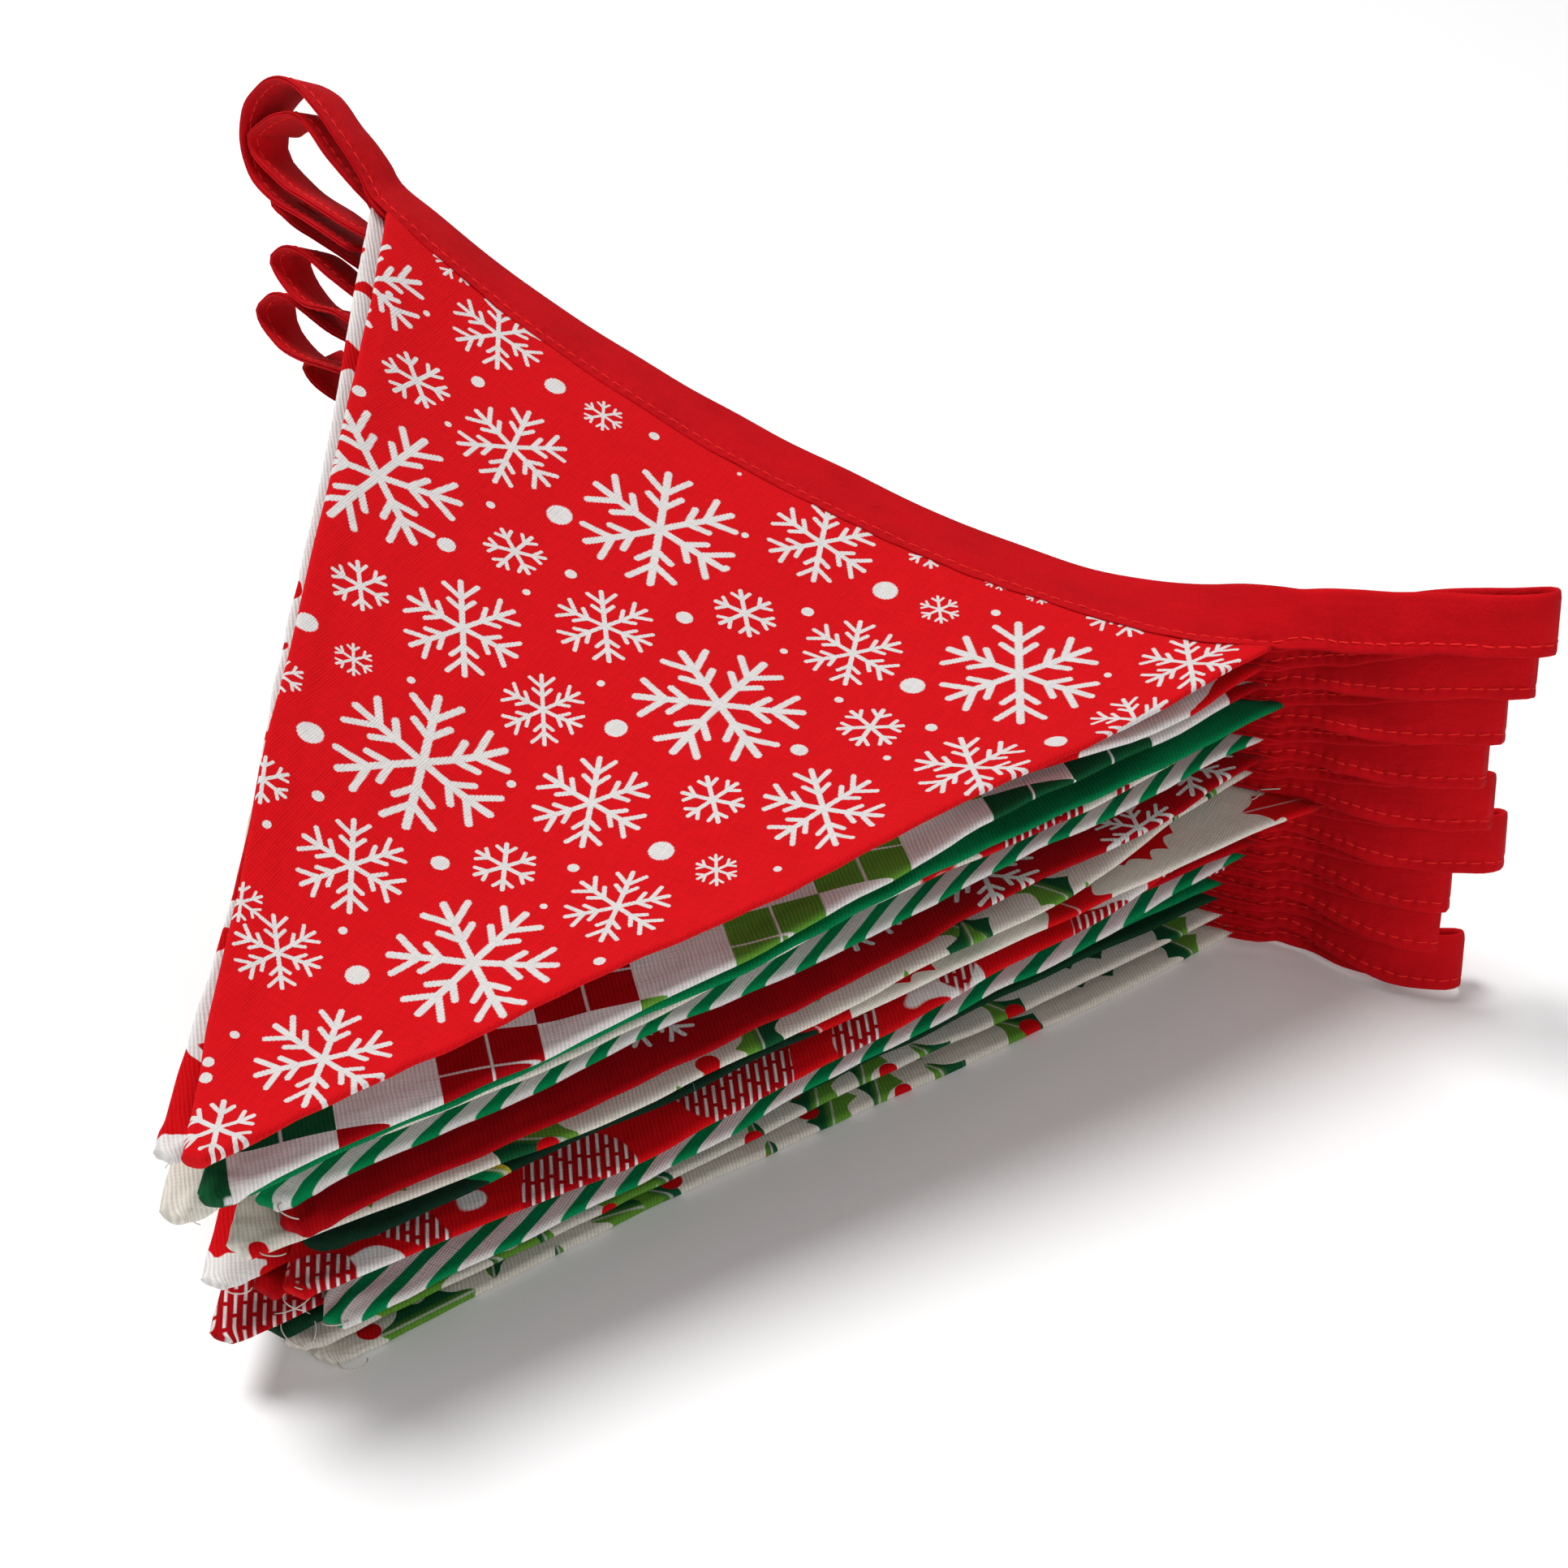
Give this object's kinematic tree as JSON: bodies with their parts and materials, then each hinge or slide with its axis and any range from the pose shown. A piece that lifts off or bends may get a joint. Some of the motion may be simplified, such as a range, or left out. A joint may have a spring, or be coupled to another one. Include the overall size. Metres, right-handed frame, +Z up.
{
  "type": "folded triangle bunting on bias tape",
  "caption": "Length of printed cotton triangle bunting on a red bias tape, folded back and forth into a flat stack with tape loops at both sides.",
  "frame": {"origin": "bottom centre of the bounding box, on the surface the stack rests on", "axes": "+X along the tape, towards the side with the even pile of tape loops; -Y towards the flag tips; +Z up"},
  "size_m": [0.3052, 0.2383, 0.1603],
  "materials": {
    "tape_red": "matte woven",
    "cotton_red": "matte printed twill",
    "cotton_dark_red": "matte printed twill",
    "cotton_cream": "matte printed twill",
    "cotton_green": "matte printed twill",
    "cotton_light_green": "matte printed twill",
    "cotton_dark_green": "matte printed twill"
  },
  "bodies": {
    "root": {"flag_01_holly": "cotton_cream", "flag_02_holly_small": "cotton_cream", "flag_03_dark_green": "cotton_dark_green", "flag_04_plain_green": "cotton_green", "flag_05_red_dashes": "cotton_red", "flag_06_green_stripes": "cotton_green", "flag_07_plain_red": "cotton_red", "flag_08_candy": "cotton_cream", "flag_09_leaves": "cotton_cream", "flag_10_dark": "cotton_dark_green", "flag_11_holly_light": "cotton_cream", "flag_12_dark_red": "cotton_dark_red", "flag_13_green_slant": "cotton_green", "flag_14_light_check": "cotton_light_green", "flag_15_bright_green": "cotton_green", "flag_16_check": "cotton_cream", "flag_17_candy_red": "cotton_cream", "flag_18_snowflakes": "cotton_red", "tape": "tape_red"}
  },
  "joints": []
}
